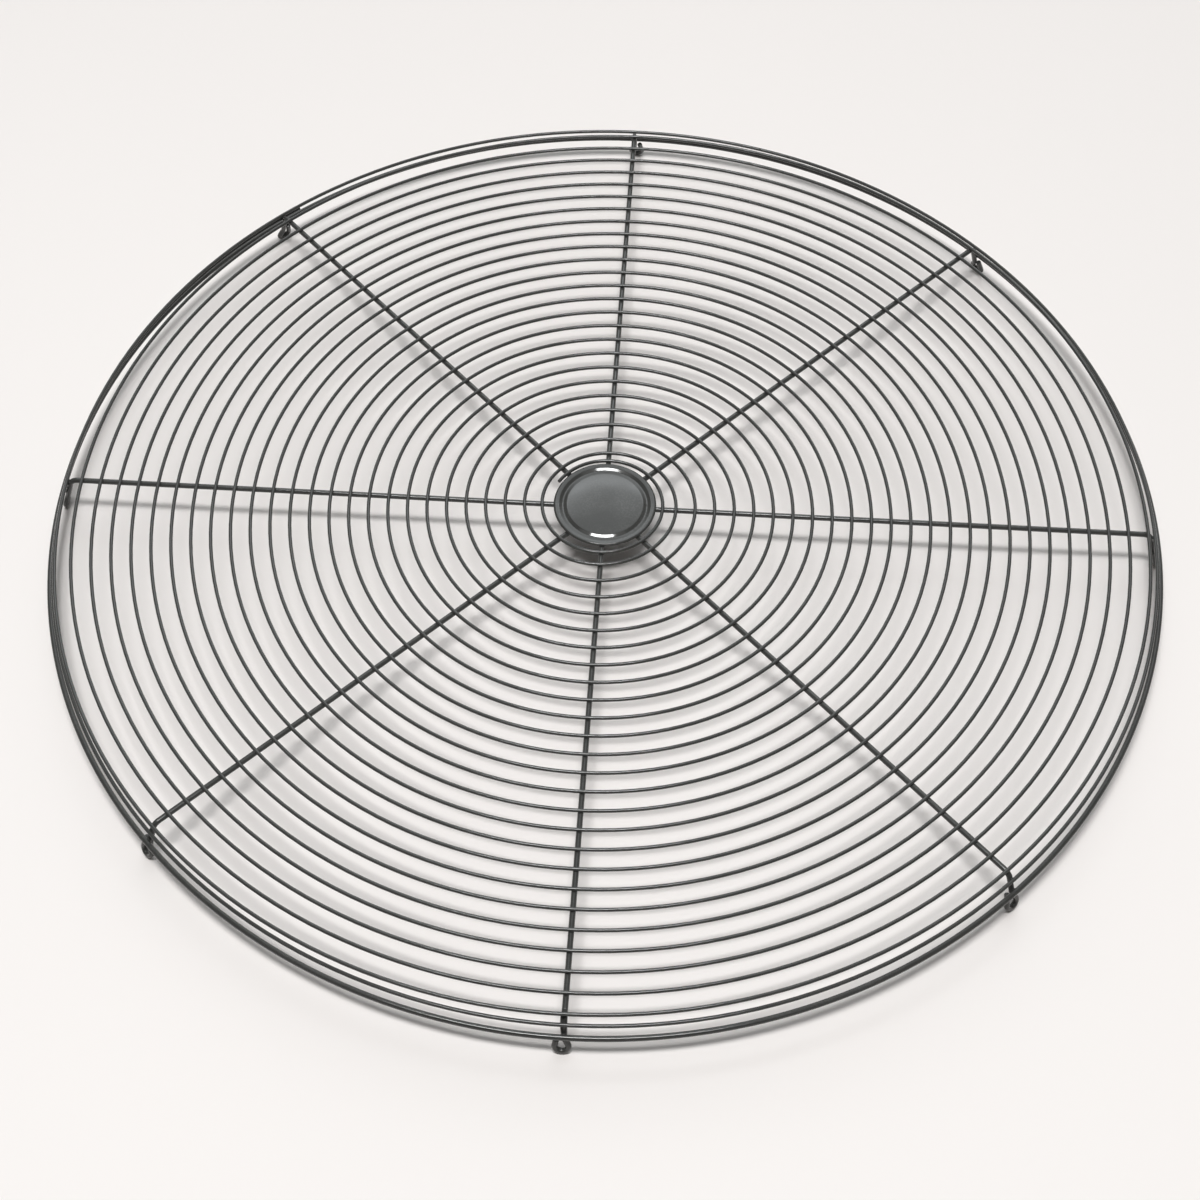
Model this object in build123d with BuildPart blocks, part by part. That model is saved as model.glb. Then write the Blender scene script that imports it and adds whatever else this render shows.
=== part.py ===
"""Wire fan guard: a shallow round dish of wire that covers the mouth of an axial fan.

One thin wire is wound into a flat spiral and runs down over the edge of the dish.  Eight
heavier stay wires lie under it like spokes; each bends down at the edge, passes inside the
rim wire and ends in an eye that stands on the fan's mounting face.  A pressed cover closes
the middle.

Millimetres, +Z out of the fan.  The origin is the middle of the mounting face, where the
eight eyes stand.  The first stay lies along +X.
"""
import math
import os

from build123d import *

os.makedirs("parts", exist_ok=True)

# Wire stock.  Each wire is drawn with a regular section that has the area of the round one.
spiral_wire = 3.0
stay_wire = 4.5
rim_wire = 4.5
wire_sides = 8
weld_gap = 0.1  # between two round wires that are welded where they cross

# Spiral, wound clockwise and outwards from its inner end beside the cover
pitch = 16.0
face_height = 40.0
spiral_start_angle = 152.0  # 17 degrees before the stay at 135
spiral_tail_angle = 19.5  # the wire runs on past its last half turn
cover_clearance = 1.0
tight_steps = [3.0, 4.3, 6.9, 7.8]  # growth of the first half turns, wound closer than the rest
edge_drop = 7.0  # the last turn's height below the face, half way round
tail_drop = 9.1  # and at its end, under its own beginning

# Stays
stay_count = 8
stay_inner_radius = 20.0
stay_corner_radius = 446.0  # where the two straight runs of a stay would meet
stay_bend = 7.0
leg_tilt = 20.0  # outward lean of the leg from straight down

# Eyes at the feet of the stays, each in the tilted plane of its leg
eye_bore = 5.5
eye_shift = 1.8  # sideways from the line of the leg
eye_neck_bend = 6.0
eye_neck_angle = 25.0
eye_tip_lean = 10.0
eye_tip_length = 11.0

# Rim wire, welded outside the legs
rim_height = 21.4

# Pressed cover over the inner ends of the stays
cover_sheet = 1.2
cover_radius = 42.4
cover_bead_inset = 7.7  # from the outer edge to the middle of the bead
cover_bead_width = 1.0
cover_bead_slope = 2.8
cover_bead_depth = 1.1
cover_press_bend = 2.0
cover_lip_width = 1.4
cover_lip_drop = 0.9


def corner_radius(diameter):
    """From the middle to a corner of the regular section with the area of a round wire."""
    return diameter * math.sqrt(math.pi / (2 * wire_sides * math.sin(2 * math.pi / wire_sides)))


# Heights that follow from the stock.  The eyes stand on the corner of the wire that is lowest
# in their tilted plane.
stay_height = face_height - (spiral_wire + stay_wire) / 2 - weld_gap
eye_radius = (eye_bore + stay_wire) / 2
foot_height = corner_radius(stay_wire) * math.cos(math.radians(180 / wire_sides - leg_tilt))
eye_height = foot_height + eye_radius * math.cos(math.radians(leg_tilt))
cover_seat = stay_height + stay_wire / 2 + weld_gap

# The leg's line: outward travel for each millimetre of drop
leg_slope = math.tan(math.radians(leg_tilt))
leg_run = (stay_height - eye_height) / math.cos(math.radians(leg_tilt))
rim_radius = (
    stay_corner_radius
    + leg_slope * (stay_height - rim_height)
    + ((stay_wire + rim_wire) / 2 + weld_gap) / math.cos(math.radians(leg_tilt))
)

# Over the edge of the dish the spiral wire follows the bend of the stays: one turn leaves the
# face, the next meets the legs, and the chord between them touches the bend
bend_cut = stay_bend * math.tan(math.radians(90 - leg_tilt) / 2)
wrap_radius = stay_bend + (stay_wire + spiral_wire) / 2 + weld_gap
wrap_step = wrap_radius * math.tan(math.radians(90 - leg_tilt) / 4)
chord_slope = math.radians(90 - leg_tilt) / 2
shoulder_radius = stay_corner_radius - bend_cut + wrap_step


def beside_legs(drop):
    """Radius and height of the spiral wire where it touches the legs, this far below the face."""
    height = face_height - drop
    touch = (stay_wire + spiral_wire) / 2 + weld_gap
    radius = stay_corner_radius + leg_slope * (stay_height - height)
    return radius + touch / math.cos(math.radians(leg_tilt)), height


# Radius and height of the wire at each half turn
inner_radius = cover_radius + cover_clearance + spiral_wire / 2
even_radius = inner_radius + sum(tight_steps)
crossings = []
for turn in range(len(tight_steps)):
    crossings.append((inner_radius + sum(tight_steps[:turn]), face_height))
even_turns = round((shoulder_radius - even_radius) / (pitch / 2))
even_step = (shoulder_radius - even_radius) / even_turns
crossings += [(even_radius + even_step * turn, face_height) for turn in range(even_turns + 1)]
crossings += [beside_legs(2 * wrap_step * math.sin(chord_slope)), beside_legs(edge_drop)]
crossings += [beside_legs(tail_drop), beside_legs(tail_drop)]


def half_turn(number):
    """Start, middle and end of a half circle, for a plane whose x axis passes its ends."""
    side = -1 if number % 2 else 1
    (radius, height), (next_radius, next_height) = crossings[number : number + 2]
    reach = math.hypot(radius + next_radius, next_height - height) / 2
    return (
        (side * radius, 0, height),
        (side * (radius - next_radius) / 2, -side * reach, (height + next_height) / 2),
        (-side * next_radius, 0, next_height),
    )


def wire_section(diameter):
    """Regular section of a wire, with flats square to the local axes."""
    RegularPolygon(corner_radius(diameter), wire_sides, rotation=180 / wire_sides)


def section_plane(line):
    """Plane square to the start of a level wire, its local y axis up."""
    return Plane(origin=line @ 0, x_dir=(line % 0).cross(Vector(0, 0, 1)), z_dir=line % 0)


# The ends of all the half circles lie on one line through the axis, so each runs into the
# next without a kink
with BuildLine(Plane.XY.rotated((0, 0, spiral_start_angle))) as spiral_path:
    for number in range(len(crossings) - 2):
        ThreePointArc(*half_turn(number))
    last_turn = ThreePointArc(*half_turn(len(crossings) - 2), mode=Mode.PRIVATE)
    add(last_turn.trim(0, spiral_tail_angle / 180))

spiral_line = spiral_path.wires()[0]
with BuildPart() as spiral:
    with BuildSketch(section_plane(spiral_line)):
        wire_section(spiral_wire)
    sweep(path=spiral_line)
spiral.part.label = "spiral_wire"
export_step(spiral.part, "parts/spiral_wire.step")

# Rim wire
with BuildPart() as rim:
    with BuildSketch(Plane.XZ):
        with Locations(Location((rim_radius, rim_height), leg_tilt)):
            wire_section(rim_wire)
    revolve(axis=Axis.Z)
rim.part.label = "rim_wire"
export_step(rim.part, "parts/rim_wire.step")

# One stay along +X.  The leg plane holds the leg and the eye: local x runs clockwise round
# the guard, local y up along the leg, and the eye's centre is at height nought.
lean = math.radians(leg_tilt)
neck = math.radians(eye_neck_angle)
tip = math.radians(eye_tip_lean)
leg_foot = Vector(stay_corner_radius + leg_slope * (stay_height - eye_height), 0, eye_height)
leg_plane = Plane(
    origin=leg_foot, x_dir=(0, -1, 0), z_dir=(-math.cos(lean), 0, -math.sin(lean))
)
neck_length = (
    eye_radius * math.cos(neck) - eye_shift - eye_neck_bend * (1 - math.cos(neck))
) / math.sin(neck)
neck_low = (eye_shift - eye_radius * math.cos(neck), eye_radius * math.sin(neck))
neck_high = (neck_low[0] + neck_length * math.sin(neck), neck_low[1] + neck_length * math.cos(neck))
leg_end = (0, neck_high[1] + eye_neck_bend * math.sin(neck))
loop_end = (eye_shift + eye_radius * math.cos(tip), eye_radius * math.sin(tip))
tip_end = (loop_end[0] - eye_tip_length * math.sin(tip), loop_end[1] + eye_tip_length * math.cos(tip))

with BuildLine(Plane.XZ) as run_path:
    Line((stay_inner_radius, stay_height), (stay_corner_radius - bend_cut, stay_height))
    JernArc(
        start=(stay_corner_radius - bend_cut, stay_height),
        tangent=(1, 0),
        radius=stay_bend,
        arc_size=leg_tilt - 90,
    )
with BuildLine(leg_plane) as leg_path:
    Line((0, leg_run - bend_cut), leg_end)
    JernArc(start=leg_end, tangent=(0, -1), radius=eye_neck_bend, arc_size=-eye_neck_angle)
    Line(neck_high, neck_low)
    JernArc(
        start=neck_low,
        tangent=(-math.sin(neck), -math.cos(neck)),
        radius=eye_radius,
        arc_size=180 + eye_neck_angle + eye_tip_lean,
    )
    Line(loop_end, tip_end)

stay_line = Wire(run_path.edges() + leg_path.edges())
with BuildPart() as stay:
    with BuildSketch(section_plane(stay_line)):
        wire_section(stay_wire)
    sweep(path=stay_line)

for number in range(stay_count):
    with BuildPart() as placed_stay:
        add(stay.part, rotation=(0, 0, 360 / stay_count * number))
    placed_stay.part.label = f"stay_{number + 1}"
    export_step(placed_stay.part, f"parts/stay_{number + 1}.step")

# Cover: one sheet with a bead pressed down onto the stays, and a lip turned down at the edge
bead_middle = cover_seat + cover_sheet / 2
panel_middle = bead_middle + cover_bead_depth
edge_radius = cover_radius - cover_sheet / 2
bead_inside = cover_radius - cover_bead_inset - cover_bead_width / 2
bead_outside = bead_inside + cover_bead_width
with BuildPart() as cover:
    with BuildSketch(Plane.XZ):
        with BuildLine():
            pressed = FilletPolyline(
                (-cover_sheet, panel_middle),  # run past the axis and cut off there below
                (bead_inside - cover_bead_slope, panel_middle),
                (bead_inside, bead_middle),
                (bead_outside, bead_middle),
                (bead_outside + cover_bead_slope, panel_middle),
                (edge_radius - cover_lip_width, panel_middle),
                (edge_radius, panel_middle - cover_lip_drop),
                radius=cover_press_bend,
            )
            offset(pressed, amount=cover_sheet / 2, side=Side.BOTH)
        make_face()
        with Locations((0, bead_middle)):
            Rectangle(
                cover_radius,
                cover_radius,
                align=(Align.MIN, Align.CENTER),
                mode=Mode.INTERSECT,
            )
    revolve(axis=Axis.Z)
cover.part.label = "hub_cover"
export_step(cover.part, "parts/hub_cover.step")
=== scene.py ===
"""Wire fan guard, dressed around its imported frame.

Metres, in the frame of the part: +Z out of the fan, the origin in the middle of the mounting
face, the first stay along +X.  Every wire is drawn round and smooth over its solid, the welds
get their fillets, and the cover its pressed bends, weld dimples and enamel.
"""
from __future__ import annotations

import logging
import math
from dataclasses import dataclass, field
from enum import Enum
from functools import cached_property

import bpy
from mathutils import Matrix, Quaternion, Vector

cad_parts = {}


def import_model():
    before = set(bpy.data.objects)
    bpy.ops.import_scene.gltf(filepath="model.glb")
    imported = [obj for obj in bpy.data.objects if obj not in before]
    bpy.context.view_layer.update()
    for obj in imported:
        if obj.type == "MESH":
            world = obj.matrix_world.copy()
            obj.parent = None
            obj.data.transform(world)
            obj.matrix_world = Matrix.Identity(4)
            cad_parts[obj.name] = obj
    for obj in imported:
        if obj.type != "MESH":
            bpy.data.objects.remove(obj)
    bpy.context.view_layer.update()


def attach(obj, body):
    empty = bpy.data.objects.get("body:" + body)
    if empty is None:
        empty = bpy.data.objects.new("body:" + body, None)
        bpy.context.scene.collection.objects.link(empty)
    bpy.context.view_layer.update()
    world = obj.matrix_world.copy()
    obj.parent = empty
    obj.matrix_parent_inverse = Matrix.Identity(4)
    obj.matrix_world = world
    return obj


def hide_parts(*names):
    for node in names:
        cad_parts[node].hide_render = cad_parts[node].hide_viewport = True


LOG = logging.getLogger("fan_guard")
MM = 0.001
UP = Vector((0, 0, 1))
WELD_GAP = 0.1 * MM  # between two round wires that are welded where they cross

Colour = tuple[float, float, float]
Value = bpy.types.NodeSocket | float


class Wire(Enum):
    """Diameters of the wire stock, in metres."""

    SPIRAL = 3.0 * MM
    STAY = 4.5 * MM
    RIM = 4.5 * MM


# ---------------------------------------------------------------- hand moves on a mesh


def clear_selection() -> None:
    """Leaves nothing selected, in object mode."""
    if bpy.context.object and bpy.context.object.mode != "OBJECT":
        bpy.ops.object.mode_set(mode="OBJECT")
    bpy.ops.object.select_all(action="DESELECT")


def choose(piece: bpy.types.Object) -> None:
    """Makes one piece the only selected and active object.

    Args:
        piece: The object to work on next.
    """
    clear_selection()
    piece.select_set(True)
    bpy.context.view_layer.objects.active = piece


def settle(piece: bpy.types.Object) -> None:
    """Puts the place of a piece into its mesh, so that its object stands at the origin.

    Args:
        piece: The object whose transform is applied.
    """
    choose(piece)
    bpy.ops.object.transform_apply(location=True, rotation=True, scale=True)


def copy_of(piece: bpy.types.Object, name: str) -> bpy.types.Object:
    """Copies a piece with a mesh of its own.

    Args:
        piece: The object to copy.
        name: Name of the copy and of its mesh.

    Returns:
        The copy, linked to the scene.
    """
    twin = piece.copy()
    twin.data = piece.data.copy()
    twin.name = name
    twin.data.name = name
    bpy.context.scene.collection.objects.link(twin)
    return twin


def smooth(piece: bpy.types.Object, degrees: float) -> None:
    """Shades a piece smooth, with an edge wherever its faces turn by more than an angle.

    Args:
        piece: The object to shade.
        degrees: Largest turn that still looks round.
    """
    choose(piece)
    bpy.ops.object.shade_smooth_by_angle(angle=math.radians(degrees))


class WireDraft:
    """One round wire, drawn as by hand: a ring of points is pulled straight and spun in turns."""

    ROUND_UP_TO = 50  # degrees between two faces that are shaded as one round surface

    def __init__(self, name: str, diameter: float, sides: int, start: Vector, heading: Vector):
        """Lays the first ring of points.

        Args:
            name: Name of the piece.
            diameter: Diameter of the wire.
            sides: Points round the wire.
            start: Middle of the wire's first end.
            heading: Direction in which the wire leaves that end.
        """
        clear_selection()
        half_step = Quaternion((0, 0, 1), math.pi / sides)
        bpy.ops.mesh.primitive_circle_add(
            vertices=sides,
            radius=diameter / 2,
            fill_type="NOTHING",
            location=start,
            rotation=(heading.to_track_quat("Z", "Y") @ half_step).to_euler(),
        )
        self.piece = bpy.context.object
        self.piece.name = name
        self.piece.data.name = name
        bpy.ops.object.transform_apply(location=True, rotation=True, scale=True)
        bpy.ops.object.mode_set(mode="EDIT")
        bpy.ops.mesh.select_all(action="SELECT")
        self.diameter = diameter
        self.place = Vector(start)
        self.heading = Vector(heading).normalized()
        self.stretches = [self.piece]

    def pull(self, length: float) -> None:
        """Pulls the wire straight on, with a short section at each end of the run.

        The short sections keep the round shading of the bends off the straight wire.

        Args:
            length: Length of the straight run.
        """
        margin = min(self.diameter, length) / 4
        for part in (margin, length - 2 * margin, margin):
            step = self.heading * part
            bpy.ops.mesh.extrude_edges_move(TRANSFORM_OT_translate={"value": step})
            self.place += step

    def turn(self, centre: Vector, axis: Vector, degrees: float, steps: int) -> None:
        """Spins the wire on round a centre, by the right hand about the axis.

        Args:
            centre: A point on the axis of the bend.
            axis: Direction of that axis.
            degrees: How far the wire turns.
            steps: Sections along the bend.
        """
        angle = math.radians(degrees)
        bpy.ops.mesh.spin(steps=steps, angle=angle, center=centre, axis=-axis)
        swing = Quaternion(axis, angle)
        self.place = centre + swing @ (self.place - centre)
        self.heading = swing @ self.heading

    def bend(self, towards: Vector, radius: float, degrees: float, steps: int) -> None:
        """Bends the wire to one side.

        Args:
            towards: Direction from the wire to the middle of the bend.
            radius: Radius of the bend on the wire's middle line.
            degrees: How far the wire turns.
            steps: Sections along the bend.
        """
        side = (towards - self.heading * towards.dot(self.heading)).normalized()
        self.turn(self.place + side * radius, self.heading.cross(side), degrees, steps)

    def lay_aside(self) -> None:
        """Goes on from the last ring of points in a fresh mesh, which keeps a long wire quick."""
        bpy.ops.mesh.duplicate()
        bpy.ops.mesh.separate(type="SELECTED")
        bpy.ops.object.mode_set(mode="OBJECT")
        fresh = next(o for o in bpy.context.selected_objects if o not in self.stretches)
        self.stretches.append(fresh)
        choose(fresh)
        bpy.ops.object.mode_set(mode="EDIT")
        bpy.ops.mesh.select_all(action="SELECT")

    def gather(self) -> None:
        """Joins the stretches that were laid aside back into one wire."""
        if len(self.stretches) == 1:
            return
        clear_selection()
        for stretch in self.stretches:
            stretch.select_set(True)
        bpy.context.view_layer.objects.active = self.piece
        bpy.ops.object.join()
        bpy.ops.object.mode_set(mode="EDIT")
        bpy.ops.mesh.select_all(action="SELECT")
        bpy.ops.mesh.remove_doubles(threshold=self.diameter / 1000)
        self.stretches = [self.piece]

    def close(self, cut_edge: float) -> bpy.types.Object:
        """Closes both ends with a cut face whose edge is slightly rounded.

        Args:
            cut_edge: Width of the rounding.

        Returns:
            The finished wire.
        """
        self.gather()
        bpy.ops.mesh.select_all(action="DESELECT")
        bpy.ops.mesh.select_mode(type="EDGE")
        bpy.ops.mesh.select_non_manifold(
            extend=False,
            use_wire=False,
            use_boundary=True,
            use_multi_face=False,
            use_non_contiguous=False,
            use_verts=False,
        )
        bpy.ops.mesh.fill_holes(sides=0)
        bpy.ops.mesh.bevel(offset=cut_edge, segments=2, affect="EDGES")
        bpy.ops.mesh.select_all(action="SELECT")
        bpy.ops.mesh.normals_make_consistent(inside=False)
        bpy.ops.object.mode_set(mode="OBJECT")
        smooth(self.piece, self.ROUND_UP_TO)
        return self.piece

    def join_up(self) -> bpy.types.Object:
        """Joins the last ring of points to the first one, for a ring of wire.

        Returns:
            The finished wire.
        """
        bpy.ops.mesh.select_all(action="SELECT")
        bpy.ops.mesh.remove_doubles(threshold=self.diameter / 100)
        bpy.ops.mesh.normals_make_consistent(inside=False)
        bpy.ops.object.mode_set(mode="OBJECT")
        smooth(self.piece, self.ROUND_UP_TO)
        return self.piece


def steps_for(radius: float, degrees: float, sag: float = 0.06 * MM) -> int:
    """How many straight sections a bend needs to look round.

    Args:
        radius: Radius of the bend.
        degrees: Length of the bend.
        sag: Largest distance from a section to the true arc.

    Returns:
        The number of sections, at least three.
    """
    each = 2 * math.degrees(math.acos(max(1 - sag / radius, 0.9)))
    return max(3, math.ceil(degrees / each))


# ---------------------------------------------------------------- finishes


def node_group(name: str, inputs: dict[str, float], outputs: dict[str, str]) -> bpy.types.NodeTree:
    """Starts a shader node group with named sockets.

    Args:
        name: Name of the group.
        inputs: Default value for each number input.
        outputs: Socket kind, Color or Float, for each output.

    Returns:
        The group, holding only its input and output nodes.
    """
    group = bpy.data.node_groups.new(name, "ShaderNodeTree")
    for label, value in inputs.items():
        socket = group.interface.new_socket(
            name=label, in_out="INPUT", socket_type="NodeSocketFloat"
        )
        socket.default_value = value
    for label, kind in outputs.items():
        group.interface.new_socket(
            name=label, in_out="OUTPUT", socket_type=f"NodeSocket{kind}"
        )
    group.nodes.new("NodeGroupInput").name = "in"
    group.nodes.new("NodeGroupOutput").name = "out"
    return group


class Nodes:
    """Short hand for adding and linking nodes in one tree."""

    def __init__(self, tree: bpy.types.NodeTree):
        """Keeps the tree to work in."""
        self.tree = tree

    @cached_property
    def place(self) -> bpy.types.NodeSocket:
        """The object's own coordinates."""
        return self.add("TexCoord").outputs["Object"]

    def add(self, kind: str, values: dict | None = None, **settings) -> bpy.types.Node:
        """Adds a node.

        Args:
            kind: Class of the node, without its ShaderNode prefix.
            values: Input values by socket name or number.
            **settings: Properties of the node.

        Returns:
            The new node.
        """
        node = self.tree.nodes.new(f"ShaderNode{kind}")
        for label, value in settings.items():
            setattr(node, label, value)
        for socket, value in (values or {}).items():
            node.inputs[socket].default_value = value
        return node

    def link(self, source: bpy.types.NodeSocket, target: bpy.types.NodeSocket) -> None:
        """Joins two sockets."""
        self.tree.links.new(source, target)

    def feed(self, value: Value, target: bpy.types.NodeSocket) -> None:
        """Joins a socket to another one, or sets a number on it.

        Args:
            value: Socket or number.
            target: The input that gets it.
        """
        if isinstance(value, bpy.types.NodeSocket):
            self.link(value, target)
        else:
            target.default_value = value

    def noise(self, scale: Value, detail: float) -> bpy.types.NodeSocket:
        """Adds cloudy noise that follows the object's own coordinates.

        Args:
            scale: Lumps to the metre.
            detail: How many finer layers it has.

        Returns:
            The socket of its value.
        """
        node = self.add("TexNoise", {"Detail": detail})
        self.link(self.place, node.inputs["Vector"])
        self.feed(scale, node.inputs["Scale"])
        return node.outputs["Fac"]

    def ramp(
        self,
        value: bpy.types.NodeSocket,
        low: float,
        high: float,
        at_low: float,
        at_high: float,
    ) -> bpy.types.NodeSocket:
        """Maps a value from one range to another, and stays inside the second.

        Args:
            value: Socket of the value.
            low: Value that becomes at_low.
            high: Value that becomes at_high.
            at_low: First result.
            at_high: Last result.

        Returns:
            The socket of the result.
        """
        node = self.add(
            "MapRange", {"From Min": low, "From Max": high, "To Min": at_low, "To Max": at_high}
        )
        self.link(value, node.inputs["Value"])
        return node.outputs["Result"]

    def sum(self, first: Value, second: Value, operation: str = "ADD") -> bpy.types.NodeSocket:
        """Adds or otherwise combines two values.

        Args:
            first: Socket or number.
            second: Socket or number.
            operation: Name of the sum, as the Math node has it.

        Returns:
            The socket of the result.
        """
        node = self.add("Math", operation=operation)
        for socket, value in zip(node.inputs, (first, second)):
            self.feed(value, socket)
        return node.outputs[0]

    def product(self, first: Value, second: Value) -> bpy.types.NodeSocket:
        """Multiplies two values."""
        return self.sum(first, second, "MULTIPLY")

    def scaled(self, colour: Colour, share: bpy.types.NodeSocket) -> bpy.types.NodeSocket:
        """Makes a colour brighter or darker.

        Args:
            colour: The colour itself.
            share: Socket of the number that it is multiplied with.

        Returns:
            The socket of the result.
        """
        node = self.add("VectorMath", {0: colour}, operation="SCALE")
        self.link(share, node.inputs["Scale"])
        return node.outputs["Vector"]

    def tint(
        self, share: bpy.types.NodeSocket, under: bpy.types.NodeSocket, over: Colour
    ) -> bpy.types.NodeSocket:
        """Lays a colour over another one.

        Args:
            share: Socket of the share of the upper colour.
            under: Socket of the lower colour.
            over: The upper colour.

        Returns:
            The socket of the result.
        """
        node = self.add("Mix", data_type="RGBA")
        self.link(share, node.inputs["Factor"])
        self.link(under, node.inputs[6])
        node.inputs[7].default_value = (*over, 1)
        return node.outputs[2]


def dipped_coat_group() -> bpy.types.NodeTree:
    """Builds the group for a dipped and stoved coat: cloudy shade, orange peel and fine nibs.

    Returns:
        The group.  Its outputs are a factor for the colour, a roughness and a height in metres.
    """
    group = node_group(
        "dipped_coat",
        {"Shade Scale": 40.0, "Shade Amount": 0.1, "Peel Scale": 900.0, "Peel Depth": 0.00001,
         "Nib Scale": 160.0, "Nib Height": 0.00008, "Gloss": 0.25},
        {"Shade": "Float", "Roughness": "Float", "Height": "Float"},
    )
    n = Nodes(group)
    source, result = group.nodes["in"].outputs, group.nodes["out"].inputs
    cloud = n.noise(source["Shade Scale"], 3.0)
    swing = n.product(n.sum(cloud, 0.5, "SUBTRACT"), 2.0)
    n.link(n.sum(n.product(swing, source["Shade Amount"]), 1.0), result["Shade"])
    gloss_swing = 0.12
    n.link(n.sum(n.product(swing, gloss_swing), source["Gloss"]), result["Roughness"])
    peel_height = n.product(n.noise(source["Peel Scale"], 1.0), source["Peel Depth"])
    nib = n.add("TexVoronoi", feature="F1")
    n.link(n.place, nib.inputs["Vector"])
    n.link(source["Nib Scale"], nib.inputs["Scale"])
    nib_size, bare_share = 0.1, 0.86
    grain = n.ramp(nib.outputs["Distance"], 0.0, nib_size, 1.0, 0.0)
    rare = n.add("SeparateColor")
    n.link(nib.outputs["Color"], rare.inputs[0])
    grain = n.product(grain, n.sum(rare.outputs[0], bare_share, "GREATER_THAN"))
    n.link(n.sum(peel_height, n.product(grain, source["Nib Height"])), result["Height"])
    return group


def fine_dust_group() -> bpy.types.NodeTree:
    """Builds the group for pale dust that lies on surfaces that face up.

    Returns:
        The group.  Its output is the share of dust, nought to one.
    """
    group = node_group(
        "fine_dust", {"Cloud Scale": 25.0, "Speck Scale": 700.0, "Amount": 0.1}, {"Share": "Float"}
    )
    n = Nodes(group)
    source, result = group.nodes["in"].outputs, group.nodes["out"].inputs
    facing = n.add("SeparateXYZ")
    n.link(n.add("NewGeometry").outputs["Normal"], facing.inputs[0])
    lies = n.ramp(facing.outputs["Z"], 0.55, 1.0, 0.0, 1.0)
    patch = n.ramp(n.noise(source["Cloud Scale"], 4.0), 0.42, 0.7, 0.15, 1.0)
    dots = n.ramp(n.noise(source["Speck Scale"], 1.0), 0.45, 0.62, 0.25, 1.0)
    n.link(n.product(n.product(lies, patch), n.product(dots, source["Amount"])), result["Share"])
    return group


@dataclass(frozen=True)
class Enamel:
    """Dark grey stove enamel on steel, with its cloudy shade, orange peel, nibs and dust."""

    name: str
    colour: Colour = (0.046, 0.047, 0.045)
    dust_colour: Colour = (0.34, 0.33, 0.31)
    shade_scale: float = 40.0
    shade_amount: float = 0.10
    peel_scale: float = 900.0
    peel_depth: float = 0.004 * MM
    nib_scale: float = 160.0
    nib_height: float = 0.05 * MM
    gloss: float = 0.12
    dust: float = 0.10
    dust_roughness: float = 0.6

    def build(self) -> bpy.types.Material:
        """Makes the material.

        Returns:
            The new material.
        """
        material = bpy.data.materials.new(self.name)
        material.use_nodes = True
        n = Nodes(material.node_tree)
        shader = material.node_tree.nodes["Principled BSDF"]
        coat = n.add("Group", node_tree=bpy.data.node_groups["dipped_coat"])
        for label, value in (
            ("Shade Scale", self.shade_scale),
            ("Shade Amount", self.shade_amount),
            ("Peel Scale", self.peel_scale),
            ("Peel Depth", self.peel_depth),
            ("Nib Scale", self.nib_scale),
            ("Nib Height", self.nib_height),
            ("Gloss", self.gloss),
        ):
            coat.inputs[label].default_value = value
        dust = n.add("Group", node_tree=bpy.data.node_groups["fine_dust"])
        dust.inputs["Amount"].default_value = self.dust
        shaded = n.scaled(self.colour, coat.outputs["Shade"])
        base = n.tint(dust.outputs["Share"], shaded, self.dust_colour)
        n.link(base, shader.inputs["Base Color"])
        dulled = n.product(dust.outputs["Share"], self.dust_roughness)
        n.link(n.sum(coat.outputs["Roughness"], dulled), shader.inputs["Roughness"])
        bump = n.add("Bump", {"Strength": 1.0, "Distance": 1.0})
        n.link(coat.outputs["Height"], bump.inputs["Height"])
        n.link(bump.outputs["Normal"], shader.inputs["Normal"])
        shader.inputs["IOR"].default_value = 1.5
        return material


@dataclass(frozen=True)
class Floor:
    """Pale matt studio floor."""

    colour: Colour = (0.89, 0.855, 0.834)
    cloud_scale: float = 0.7
    roughness: float = 0.9
    specular: float = 0.1

    def build(self) -> bpy.types.Material:
        """Makes the material.

        Returns:
            The new material.
        """
        material = bpy.data.materials.new("pale_floor")
        material.use_nodes = True
        n = Nodes(material.node_tree)
        shader = material.node_tree.nodes["Principled BSDF"]
        shade = n.ramp(n.noise(self.cloud_scale, 2.0), 0.3, 0.7, 0.99, 1.01)
        n.link(n.scaled(self.colour, shade), shader.inputs["Base Color"])
        shader.inputs["Roughness"].default_value = self.roughness
        shader.inputs["Specular IOR Level"].default_value = self.specular
        return material


# ---------------------------------------------------------------- sub-assemblies


def ray_at(azimuth: float) -> Vector:
    """Level direction away from the axis, at an azimuth in radians from +X."""
    return Vector((math.cos(azimuth), math.sin(azimuth), 0))


@dataclass
class SubAssembly:
    """Pieces of the guard that are built and dressed together."""

    pieces: list[bpy.types.Object] = field(default_factory=list, kw_only=True)

    def dress(self, finish: bpy.types.Material) -> None:
        """Gives every piece its finish."""
        for piece in self.pieces:
            piece.data.materials.append(finish)


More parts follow.
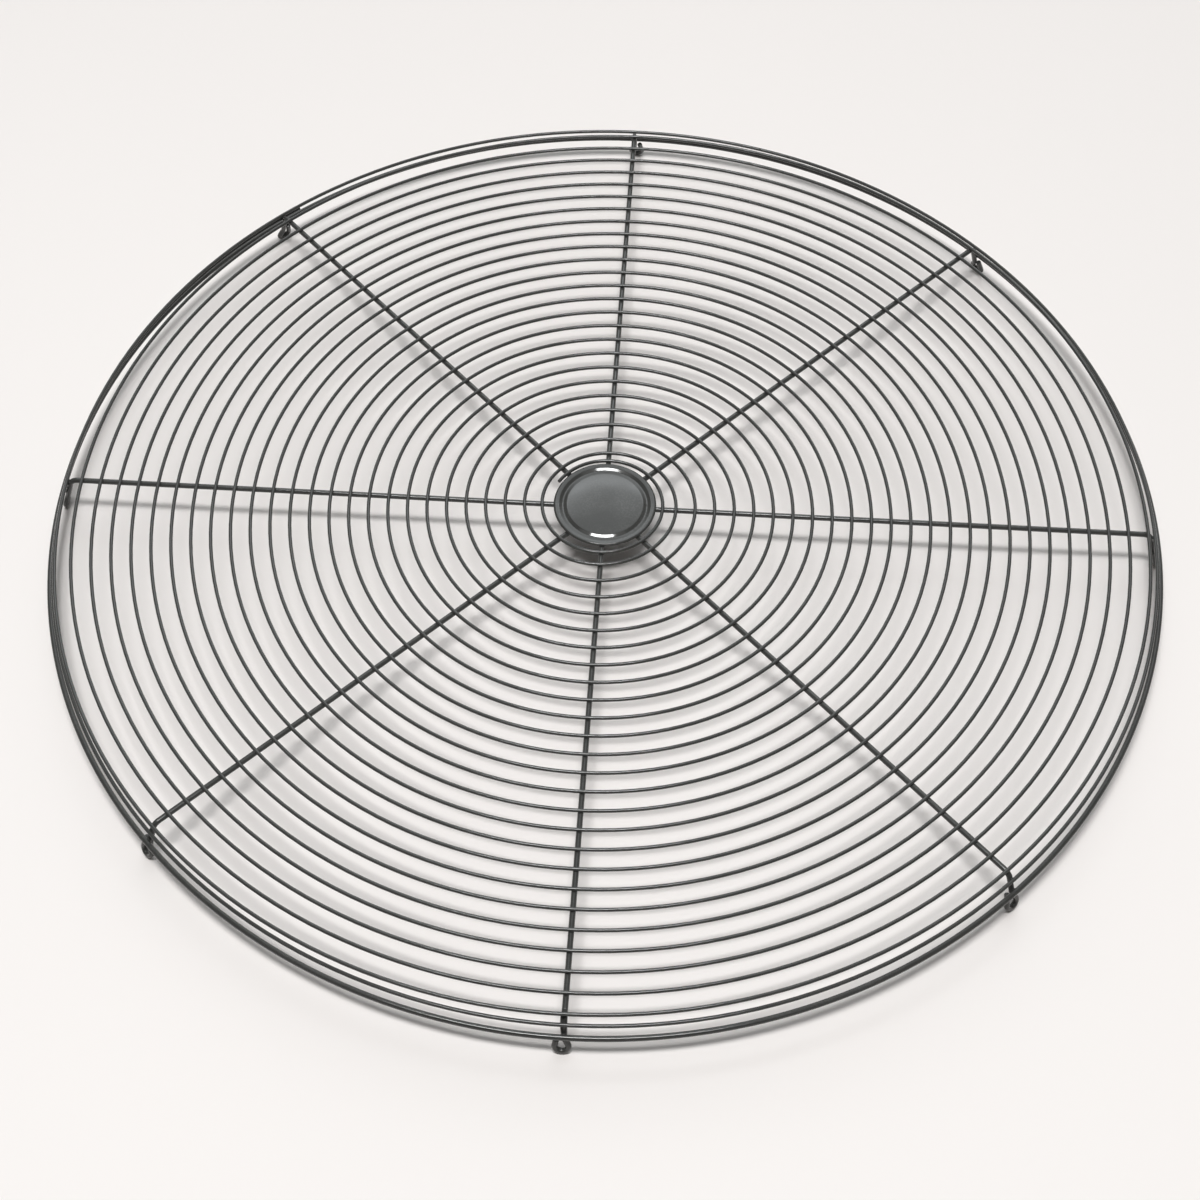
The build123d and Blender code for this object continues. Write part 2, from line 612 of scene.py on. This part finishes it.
@dataclass
class Stays(SubAssembly):
    """The eight stay wires, each with its bent leg and the eye at its foot."""

    count: int = 8
    sides: int = 16
    height: float = 36.15 * MM
    inner_radius: float = 20.0 * MM
    corner_radius: float = 446.0 * MM
    bend_radius: float = 7.0 * MM
    lean: float = math.radians(20)
    eye_radius: float = 5.0 * MM
    eye_shift: float = 1.8 * MM
    foot_height: float = 2.2693 * MM
    neck_bend: float = 6.0 * MM
    neck_angle: float = 25.0
    tip_lean: float = 10.0
    tip_length: float = 11.0 * MM
    cut_edge: float = 0.35 * MM
    bend_steps: int = 10
    neck_steps: int = 5
    eye_steps: int = 24
    short_tips: tuple[tuple[int, float], ...] = ((6, 5.0 * MM),)
    tip_end: Vector = field(default_factory=Vector)
    tip_heading: Vector = field(default_factory=Vector)

    @property
    def bend_cut(self) -> float:
        """Length that the edge bend takes off each of its two runs."""
        return self.bend_radius * math.tan((math.pi / 2 - self.lean) / 2)

    @property
    def eye_height(self) -> float:
        """Height of the eye's middle above the mounting face."""
        return self.foot_height + self.eye_radius * math.cos(self.lean)

    def leg_down(self) -> Vector:
        """Direction of the leg of the first stay, outwards and down."""
        return Vector((math.sin(self.lean), 0, -math.cos(self.lean)))

    def azimuths(self) -> list[float]:
        """Directions of the stays, in radians from +X."""
        return [math.radians(360 / self.count * number) for number in range(self.count)]

    def beside_legs(self, height: float, other_radius: float) -> float:
        """Finds how far out a ring of wire lies that is welded to the outside of the legs.

        Args:
            height: Height of the ring.
            other_radius: Radius of its wire.

        Returns:
            Radius of the ring on its middle line.
        """
        line = self.corner_radius + math.tan(self.lean) * (self.height - height)
        touch = Wire.STAY.value / 2 + other_radius + WELD_GAP
        return line + touch / math.cos(self.lean)

    def nearest(self, radius: float, height: float) -> Vector:
        """Finds the nearest point of a stay's middle line.

        Args:
            radius: Distance of the asked point from the axis of the guard.
            height: Height of the asked point.

        Returns:
            Radius and height of the nearest point, as x and z.
        """
        asked = Vector((radius, 0, height))
        run_end = self.corner_radius - self.bend_cut
        middle = Vector((run_end, 0, self.height - self.bend_radius))
        if radius <= run_end:
            return Vector((radius, 0, self.height))
        away = (asked - middle).normalized()
        if math.atan2(away.z, away.x) >= self.lean:
            return middle + away * self.bend_radius
        corner = Vector((self.corner_radius, 0, self.height))
        down = self.leg_down()
        return corner + down * (asked - corner).dot(down)

    def draw_first(self) -> bpy.types.Object:
        """Draws the stay along +X, and notes where the tip of its eye ends.

        Returns:
            The finished wire.
        """
        wire = WireDraft(
            "stay_wire",
            Wire.STAY.value,
            self.sides,
            Vector((self.inner_radius, 0, self.height)),
            Vector((1, 0, 0)),
        )
        wire.pull(self.corner_radius - self.bend_cut - self.inner_radius)
        wire.bend(-UP, self.bend_radius, 90 - math.degrees(self.lean), self.bend_steps)
        neck = math.radians(self.neck_angle)
        low_side = self.eye_shift - self.eye_radius * math.cos(neck)
        low = self.eye_radius * math.sin(neck)
        neck_run = (-low_side - self.neck_bend * (1 - math.cos(neck))) / math.sin(neck)
        leg_end = low + neck_run * math.cos(neck) + self.neck_bend * math.sin(neck)
        leg_length = (self.height - self.eye_height) / math.cos(self.lean)
        wire.pull(leg_length - self.bend_cut - leg_end)
        side = Vector((0, 1, 0))
        wire.bend(side, self.neck_bend, self.neck_angle, self.neck_steps)
        wire.pull(neck_run)
        loop = 180 + self.neck_angle + self.tip_lean
        wire.bend(-side, self.eye_radius, loop, self.eye_steps)
        wire.pull(self.tip_length)
        self.tip_end = wire.place.copy()
        self.tip_heading = wire.heading.copy()
        return wire.close(self.cut_edge)

    def shorten_tip(self, stay: bpy.types.Object, length: float) -> None:
        """Pushes the cut end of an eye back along its straight tip.

        Args:
            stay: A copy of the first stay, not yet turned to its place.
            length: How much shorter the tip becomes.
        """
        choose(stay)
        bpy.ops.object.mode_set(mode="EDIT")
        bpy.ops.mesh.select_mode(type="VERT")
        bpy.ops.mesh.select_all(action="DESELECT")
        bpy.ops.object.mode_set(mode="OBJECT")
        radius = Wire.STAY.value / 2
        for vertex in stay.data.vertices:
            away = vertex.co - self.tip_end
            behind = -away.dot(self.tip_heading)
            aside = (away + self.tip_heading * behind).length
            vertex.select = behind < radius and aside < radius * 1.1
        bpy.ops.object.mode_set(mode="EDIT")
        bpy.ops.transform.translate(value=-self.tip_heading * length)
        bpy.ops.object.mode_set(mode="OBJECT")

    def build(self) -> None:
        """Draws the first stay and places its copies."""
        first = self.draw_first()
        short_tips = dict(self.short_tips)
        for number in range(self.count):
            stay = copy_of(first, f"stay_wire_{number + 1}")
            if number in short_tips:
                self.shorten_tip(stay, short_tips[number])
            stay.rotation_euler = (0, 0, self.azimuths()[number])
            settle(stay)
            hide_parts(f"stay_{number + 1}")
            self.pieces.append(stay)
        bpy.data.objects.remove(first)


@dataclass
class Spiral(SubAssembly):
    """The one thin wire that makes the face of the guard and runs down over its edge."""

    stays: Stays
    sides: int = 12
    pitch: float = 16.0 * MM
    height: float = 40.0 * MM
    start_angle: float = 152.0
    tail_angle: float = 19.5
    inner_radius: float = 44.9 * MM
    tight_steps: tuple[float, ...] = (3.0 * MM, 4.3 * MM, 6.9 * MM, 7.8 * MM)
    edge_drop: float = 7.0 * MM
    tail_drop: float = 9.1 * MM
    cut_edge: float = 0.3 * MM

    def beside_legs(self, drop: float) -> tuple[float, float]:
        """Radius and height of the wire where it touches the legs, this far below the face."""
        height = self.height - drop
        return self.stays.beside_legs(height, Wire.SPIRAL.value / 2), height

    def crossings(self) -> list[tuple[float, float]]:
        """Radius and height of the wire at each half turn.

        Returns:
            One pair for each half turn, from the inner end outwards.
        """
        stays = self.stays
        wrap = stays.bend_radius + (Wire.STAY.value + Wire.SPIRAL.value) / 2 + WELD_GAP
        wrap_step = wrap * math.tan((math.pi / 2 - stays.lean) / 4)
        shoulder = stays.corner_radius - stays.bend_cut + wrap_step
        found = [
            (self.inner_radius + sum(self.tight_steps[:turn]), self.height)
            for turn in range(len(self.tight_steps))
        ]
        even = self.inner_radius + sum(self.tight_steps)
        turns = round((shoulder - even) / (self.pitch / 2))
        step = (shoulder - even) / turns
        found += [(even + step * turn, self.height) for turn in range(turns + 1)]
        chord = (math.pi / 2 - stays.lean) / 2
        found.append(self.beside_legs(2 * wrap_step * math.sin(chord)))
        found.append(self.beside_legs(self.edge_drop))
        return found + [self.beside_legs(self.tail_drop)] * 2

    def half_turns(self) -> list[tuple[Vector, Vector, Vector, float]]:
        """The half circles that the wire is made of.

        Returns:
            For each, its start, its centre, its axis and its length in degrees.
        """
        crossings = self.crossings()
        along = Matrix.Rotation(math.radians(self.start_angle), 3, "Z")
        found = []
        for number, (here, there) in enumerate(zip(crossings, crossings[1:])):
            side = -1 if number % 2 else 1
            start = along @ Vector((side * here[0], 0, here[1]))
            end = along @ Vector((-side * there[0], 0, there[1]))
            aside = along @ Vector((0, -side, 0))
            axis = (start - end).cross(aside).normalized()
            last = number == len(crossings) - 2
            found.append((start, (start + end) / 2, axis, self.tail_angle if last else 180.0))
        return found

    def build(self) -> None:
        """Draws the wire from its inner end to its tail."""
        turns = self.half_turns()
        start, centre, axis, _ = turns[0]
        wire = WireDraft(
            "spiral_turns", Wire.SPIRAL.value, self.sides, start, axis.cross(start - centre)
        )
        for start, centre, axis, degrees in turns:
            wire.turn(centre, axis, degrees, steps_for((start - centre).length, degrees))
            wire.lay_aside()
        piece = wire.close(self.cut_edge)
        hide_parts("spiral_wire")
        self.pieces.append(piece)

    def points_over(self, azimuth: float) -> list[Vector]:
        """Where the middle of the wire passes over a direction.

        Args:
            azimuth: Direction from the axis, in radians from +X.

        Returns:
            One point for each turn, from the inner one outwards.
        """
        ray = ray_at(azimuth)
        found = []
        for start, centre, axis, degrees in self.half_turns():
            level = Vector((centre.x, centre.y, 0))
            radius = (start - centre).length
            along = level.dot(ray)
            away = (level - ray * along).length
            point = ray * (along + math.sqrt(max(radius**2 - away**2, 0)))
            spoke = point - level
            first = Vector((start.x, start.y, 0)) - level
            passed = spoke.angle(first)
            heading = axis.cross(start - centre)
            if spoke.dot(heading) < 0 or math.degrees(passed) >= degrees:
                continue
            point.z = centre.z + (start - centre).z * math.cos(passed)
            found.append(point)
        return found


@dataclass
class Rim(SubAssembly):
    """The heavier ring of wire round the legs."""

    stays: Stays
    sides: int = 16
    height: float = 21.4 * MM
    sag: float = 0.03 * MM

    @property
    def radius(self) -> float:
        """Radius of the ring on its middle line, where it touches the legs."""
        return self.stays.beside_legs(self.height, Wire.RIM.value / 2)

    def build(self) -> None:
        """Draws the ring in one full spin."""
        wire = WireDraft(
            "rim_ring",
            Wire.RIM.value,
            self.sides,
            Vector((self.radius, 0, self.height)),
            Vector((0, 1, 0)),
        )
        wire.turn(UP * self.height, UP, 360, steps_for(self.radius, 360, self.sag))
        piece = wire.join_up()
        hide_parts("rim_wire")
        self.pieces.append(piece)


@dataclass
class Cover(SubAssembly):
    """The pressed sheet disc over the inner ends of the stays."""

    stays: Stays
    points: int = 288
    sheet: float = 1.2 * MM
    radius: float = 42.4 * MM
    seat: float = 38.5 * MM
    bead_radius: float = 34.7 * MM
    bead_width: float = 1.0 * MM
    bead_slope: float = 2.7 * MM
    bead_depth: float = 1.1 * MM
    lip_width: float = 1.4 * MM
    lip_drop: float = 0.9 * MM
    press_bend: float = 0.38 * MM
    flange_rise: float = 0.06 * MM
    dome: float = 0.27 * MM
    dent_depths: tuple[float, ...] = tuple(
        depth * MM for depth in (0.16, 0.07, 0.2, 0.07, 0.07, 0.07, 0.03, 0.16)
    )
    dent_share: float = 0.7  # of the bead's width
    dent_reach: float = 1.7 * MM
    panel_shares: tuple[float, ...] = (
        1.0, 0.97, 0.93, 0.89, 0.84, 0.79, 0.72, 0.64, 0.55, 0.44, 0.3, 0.12
    )
    bend_angle: float = 12.0
    cut_edge: float = 0.25 * MM
    cut_angle: float = 60.0
    round_up_to: float = 40.0
    flat_weight: int = 90

    def rings(self) -> list[tuple[float, float]]:
        """Radius and height of each bend line on the upper face, from the panel outwards."""
        top = self.seat + self.bead_depth + self.sheet
        low = self.seat + self.sheet
        inside = self.bead_radius - self.bead_width / 2
        outside = self.bead_radius + self.bead_width / 2
        return [
            (inside - self.bead_slope, top),
            (inside, low),
            (outside, low),
            (outside + self.bead_slope, top),
            (self.radius - self.lip_width, top + self.flange_rise),
            (self.radius, top - self.lip_drop),
        ]

    def step_in(self, share: float, rise: float, height: float) -> None:
        """Extrudes the selected ring of points and draws it in or out.

        Args:
            share: Factor from the old radius to the new one.
            rise: How far the new ring lies above the old one.
            height: Height of the middle about which it is scaled.
        """
        bpy.ops.mesh.extrude_edges_move(TRANSFORM_OT_translate={"value": (0, 0, rise)})
        bpy.ops.transform.resize(value=(share, share, 1), center_override=(0, 0, height))

    def build(self) -> None:
        """Presses the disc: a blank is stepped outwards bend by bend, then given its sheet."""
        rings = self.rings()
        inner, panel = rings[0]
        clear_selection()
        bpy.ops.mesh.primitive_circle_add(
            vertices=self.points, radius=inner, fill_type="NOTHING", location=UP * panel
        )
        piece = bpy.context.object
        piece.name = piece.data.name = "pressed_cover"
        settle(piece)
        bpy.ops.object.mode_set(mode="EDIT")
        bpy.ops.mesh.select_mode(type="VERT")
        bpy.ops.mesh.select_all(action="SELECT")
        for (radius, height), (wider, level) in zip(rings, rings[1:]):
            self.step_in(wider / radius, level - height, level)
        bpy.ops.mesh.select_all(action="DESELECT")
        bpy.ops.object.mode_set(mode="OBJECT")
        for vertex in piece.data.vertices[: self.points]:
            vertex.select = True
        bpy.ops.object.mode_set(mode="EDIT")
        for wide, share in zip(self.panel_shares, self.panel_shares[1:]):
            self.step_in(share / wide, self.dome * (wide**4 - share**4), panel)
        bpy.ops.mesh.edge_face_add()
        bpy.ops.mesh.select_all(action="SELECT")
        bpy.ops.mesh.normals_make_consistent(inside=False)
        bpy.ops.object.mode_set(mode="OBJECT")
        self.press_dents(piece)
        self.finish_sheet(piece)
        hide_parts("hub_cover")
        self.pieces.append(piece)

    def push_down(self, piece: bpy.types.Object, spot: Vector, depth: float) -> None:
        """Pushes one spot of the surface down and softly takes its surroundings along.

        Args:
            piece: The pressed surface.
            spot: Middle of the spot.
            depth: How far the middle goes.
        """
        choose(piece)
        bpy.ops.object.mode_set(mode="EDIT")
        bpy.ops.mesh.select_all(action="DESELECT")
        bpy.ops.object.mode_set(mode="OBJECT")
        for vertex in piece.data.vertices:
            vertex.select = (vertex.co - spot).length < self.bead_width * self.dent_share
        bpy.ops.object.mode_set(mode="EDIT")
        bpy.ops.transform.translate(
            value=-UP * depth,
            use_proportional_edit=True,
            proportional_edit_falloff="SMOOTH",
            proportional_size=self.dent_reach,
        )
        bpy.ops.object.mode_set(mode="OBJECT")

    def press_dents(self, piece: bpy.types.Object) -> None:
        """Presses the marks of the spot welds over the stays.

        Args:
            piece: The pressed surface.
        """
        for azimuth, depth in zip(self.stays.azimuths(), self.dent_depths):
            spot = ray_at(azimuth) * self.bead_radius + UP * (self.seat + self.sheet)
            self.push_down(piece, spot, depth)

    def finish_sheet(self, piece: bpy.types.Object) -> None:
        """Rounds the bends, gives the sheet its thickness and keeps its flat parts flat.

        Args:
            piece: The pressed surface.
        """
        if piece.data.polygons[0].normal.z < 0:
            piece.data.flip_normals()
        choose(piece)
        bends = piece.modifiers.new("press_bends", "BEVEL")
        bends.width = self.press_bend
        bends.segments = 4
        bends.limit_method = "ANGLE"
        bends.angle_limit = math.radians(self.bend_angle)
        wall = piece.modifiers.new("sheet", "SOLIDIFY")
        wall.thickness = self.sheet
        wall.offset = -1
        edge = piece.modifiers.new("cut_edge", "BEVEL")
        edge.width = self.cut_edge
        edge.segments = 2
        edge.limit_method = "ANGLE"
        edge.angle_limit = math.radians(self.cut_angle)
        for modifier in ("press_bends", "sheet", "cut_edge"):
            bpy.ops.object.modifier_apply(modifier=modifier)
        smooth(piece, self.round_up_to)
        shading = piece.modifiers.new("flat_shading", "WEIGHTED_NORMAL")
        shading.keep_sharp = True
        shading.weight = self.flat_weight
        bpy.ops.object.modifier_apply(modifier="flat_shading")


@dataclass
class Welds(SubAssembly):
    """Fillets of weld and enamel wherever two wires cross and touch."""

    stays: Stays
    spiral: Spiral
    rim: Rim
    length: float = 1.5 * MM
    width: float = 1.25 * MM
    height: float = 0.6 * MM
    rim_size: float = 1.3
    round_up_to: float = 60.0

    def contact(self, point: Vector, other_radius: float) -> tuple[Vector, Vector]:
        """Where a wire that crosses a stay touches it.

        Args:
            point: Middle of the crossing wire.
            other_radius: Radius of the crossing wire.

        Returns:
            The place of the contact and the direction from the stay to the other wire.
        """
        radius = math.hypot(point.x, point.y)
        ray = Vector((point.x, point.y, 0)) / radius
        near = self.stays.nearest(radius, point.z)
        away = Vector((radius - near.x, 0, point.z - near.z))
        gap = away.length - Wire.STAY.value / 2 - other_radius
        away.normalize()
        touch = near + away * (Wire.STAY.value / 2 + gap / 2)
        place = ray * touch.x + UP * touch.z
        return place, (ray * away.x + UP * away.z).normalized()

    def build(self) -> None:
        """Shapes one fillet, copies it to every crossing and joins the copies."""
        clear_selection()
        bpy.ops.mesh.primitive_uv_sphere_add(segments=12, ring_count=6, radius=1)
        fillet = bpy.context.object
        fillet.name = fillet.data.name = "weld_fillet"
        bpy.ops.transform.resize(value=(self.length, self.width, self.height))
        settle(fillet)
        copies = []
        for azimuth in self.stays.azimuths():
            for point in self.spiral.points_over(azimuth):
                copies.append(self.place_one(fillet, point, Wire.SPIRAL.value / 2))
            ring = ray_at(azimuth) * self.rim.radius + UP * self.rim.height
            copies.append(self.place_one(fillet, ring, Wire.RIM.value / 2, self.rim_size))
        bpy.data.objects.remove(fillet)
        clear_selection()
        for piece in copies:
            piece.select_set(True)
        bpy.context.view_layer.objects.active = copies[0]
        bpy.ops.object.join()
        joined = bpy.context.object
        joined.name = joined.data.name = "weld_fillets"
        settle(joined)
        smooth(joined, self.round_up_to)
        LOG.info("%d weld fillets", len(copies))
        self.pieces.append(joined)

    def place_one(
        self, fillet: bpy.types.Object, point: Vector, other_radius: float, size: float = 1.0
    ) -> bpy.types.Object:
        """Copies the fillet to one crossing.

        Args:
            fillet: The modelled fillet, its length along X and its height along Z.
            point: Middle of the crossing wire.
            other_radius: Radius of the crossing wire.
            size: Scale of this fillet.

        Returns:
            The copy in its place.
        """
        place, away = self.contact(point, other_radius)
        along = UP.cross(Vector((point.x, point.y, 0))).normalized()
        across = away.cross(along)
        turned = Matrix((along, across, away)).transposed().to_4x4()
        copy = copy_of(fillet, "weld_fillet_copy")
        copy.matrix_world = Matrix.Translation(place) @ turned @ Matrix.Scale(size, 4)
        return copy


# ---------------------------------------------------------------- studio


@dataclass(frozen=True)
class Lamp:
    """One soft lamp with a long side along X, hung above and a little to the near left side.

    Its level is the brightness that it alone gives to a white floor under it.
    """

    name: str
    width: float
    depth: float
    level: Colour
    shape: str = "ELLIPSE"
    distance: float = 5.0
    tilt: float = 7.2
    lean: float = 2.3

    def hang(self) -> None:
        """Hangs the lamp, aimed at the middle of the guard."""
        data = bpy.data.lights.new(self.name, "AREA")
        data.shape = self.shape
        data.size = self.width
        data.size_y = self.depth
        data.color = self.level
        data.energy = math.pi**2 * self.distance**2
        lamp = bpy.data.objects.new(self.name, data)
        bpy.context.scene.collection.objects.link(lamp)
        away = Vector(
            (-math.tan(math.radians(self.lean)), -math.tan(math.radians(self.tilt)), 1)
        ).normalized()
        along = (Vector((1, 0, 0)) - away * away.x).normalized()
        lamp.location = away * self.distance
        lamp.rotation_euler = Matrix((along, away.cross(along), away)).transposed().to_euler()


@dataclass
class Studio:
    """Pale floor, soft lamps overhead, a bright far window, faint light all round, and the camera.

    The glow of the window has a share for each height in degrees, and fades out sideways between
    the two angles of its edges.
    """

    camera_place: tuple[float, float, float] = (0.06180, -0.98226, 1.33520)
    camera_target: tuple[float, float, float] = (0.00216, -0.09584, 0.040)
    lens: float = 59.13
    sensor: float = 36.0
    roll: float = -0.167
    floor_radius: float = 2.0
    floor_points: int = 128
    lamps: tuple[Lamp, ...] = (
        Lamp("overhead_lamp", 2.2, 0.9, (0.75, 0.75, 0.75)),
        Lamp("wide_lamp", 4.4, 1.8, (0.07, 0.07, 0.07), "RECTANGLE"),
    )
    sky_colour: Colour = (0.065, 0.06, 0.055)
    glow_colour: Colour = (4.3, 4.5, 4.6)
    glow_steps: tuple[tuple[float, float], ...] = (
        (3.0, 0.12),
        (20.0, 0.32),
        (44.0, 0.37),
        (48.0, 0.78),
        (50.2, 1.0),
        (50.8, 0.95),
        (51.9, 0.31),
        (55.0, 0.26),
        (66.0, 0.26),
        (76.0, 0.0),
    )
    glow_slope: float = 0.1
    glow_edges: tuple[float, float] = (20.0, 38.0)
    seen_sky: Colour = (0.89, 0.865, 0.85)

    def set_floor(self) -> None:
        """Lays the floor."""
        clear_selection()
        bpy.ops.mesh.primitive_circle_add(
            vertices=self.floor_points, radius=self.floor_radius, fill_type="NGON"
        )
        floor = bpy.context.object
        floor.name = floor.data.name = "studio_floor"
        floor.data.materials.append(Floor().build())

    def set_camera(self) -> None:
        """Places the camera at the photograph's angle."""
        data = bpy.data.cameras.new("studio_camera")
        data.lens = self.lens
        data.sensor_width = self.sensor
        data.sensor_fit = "HORIZONTAL"
        data.clip_end = 100
        camera = bpy.data.objects.new("studio_camera", data)
        bpy.context.scene.collection.objects.link(camera)
        place = Vector(self.camera_place)
        look = (Vector(self.camera_target) - place).to_track_quat("-Z", "Y")
        camera.location = place
        camera.rotation_euler = (look @ Quaternion((0, 0, 1), math.radians(self.roll))).to_euler()
        bpy.context.scene.camera = camera

    def glow(self, n: Nodes) -> bpy.types.NodeSocket:
        """Adds the glow of the far window to the nodes of the world.

        Args:
            n: The nodes of the world.

        Returns:
            The socket of its colour.
        """
        towards = n.add("SeparateXYZ")
        n.link(n.add("TexCoord").outputs["Generated"], towards.inputs[0])
        x, y, z = towards.outputs
        sideways = n.sum(x, y, "ARCTAN2")
        height = n.sum(n.sum(z, 0.0, "ARCSINE"), n.product(sideways, self.glow_slope))
        steps = n.add("ValToRGB")
        n.link(n.product(height, 2 / math.pi), steps.inputs["Fac"])
        marks = steps.color_ramp.elements
        while len(marks) < len(self.glow_steps):
            marks.new(0.5)
        for mark, (elevation, share) in zip(marks, self.glow_steps):
            mark.position = elevation / 90
            mark.color = (share, share, share, 1)
        aside = n.sum(sideways, 0.0, "ABSOLUTE")
        near = n.ramp(aside, *(math.radians(edge) for edge in self.glow_edges), 1.0, 0.0)
        return n.scaled(self.glow_colour, n.product(near, steps.outputs["Color"]))

    def set_world(self) -> None:
        """Sets the light all round, and the plain colour that the camera sees instead."""
        world = bpy.data.worlds.new("studio_world")
        bpy.context.scene.world = world
        world.use_nodes = True
        n = Nodes(world.node_tree)
        all_round = n.add("VectorMath", {1: self.sky_colour}, operation="ADD")
        n.link(self.glow(n), all_round.inputs[0])
        shine = world.node_tree.nodes["Background"]
        n.link(all_round.outputs["Vector"], shine.inputs["Color"])
        seen = n.add("Background", {"Color": (*self.seen_sky, 1)})
        mixed = n.add("MixShader")
        n.link(n.add("LightPath").outputs["Is Camera Ray"], mixed.inputs[0])
        n.link(shine.outputs[0], mixed.inputs[1])
        n.link(seen.outputs[0], mixed.inputs[2])
        n.link(mixed.outputs[0], world.node_tree.nodes["World Output"].inputs["Surface"])

    def build(self) -> None:
        """Sets floor, camera and light."""
        self.set_floor()
        self.set_camera()
        for lamp in self.lamps:
            lamp.hang()
        self.set_world()
        bpy.context.scene.view_settings.view_transform = "Standard"


def main() -> None:
    """Builds the guard over its frame and sets the studio round it."""
    logging.basicConfig(level=logging.INFO, format="%(message)s")
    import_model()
    dipped_coat_group()
    fine_dust_group()
    stays = Stays()
    spiral = Spiral(stays)
    rim = Rim(stays)
    cover = Cover(stays)
    welds = Welds(stays, spiral, rim)
    wire_enamel = Enamel("wire_enamel").build()
    cover_enamel = Enamel(
        "cover_enamel", shade_scale=30.0, shade_amount=0.05, gloss=0.10, peel_depth=0.0015 * MM
    ).build()
    for part, finish in (
        (stays, wire_enamel),
        (spiral, wire_enamel),
        (rim, wire_enamel),
        (cover, cover_enamel),
        (welds, wire_enamel),
    ):
        part.build()
        part.dress(finish)
        for piece in part.pieces:
            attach(piece, "root")
            LOG.info("%s: %d faces", piece.name, len(piece.data.polygons))
    Studio().build()


if __name__ == "__main__":
    main()
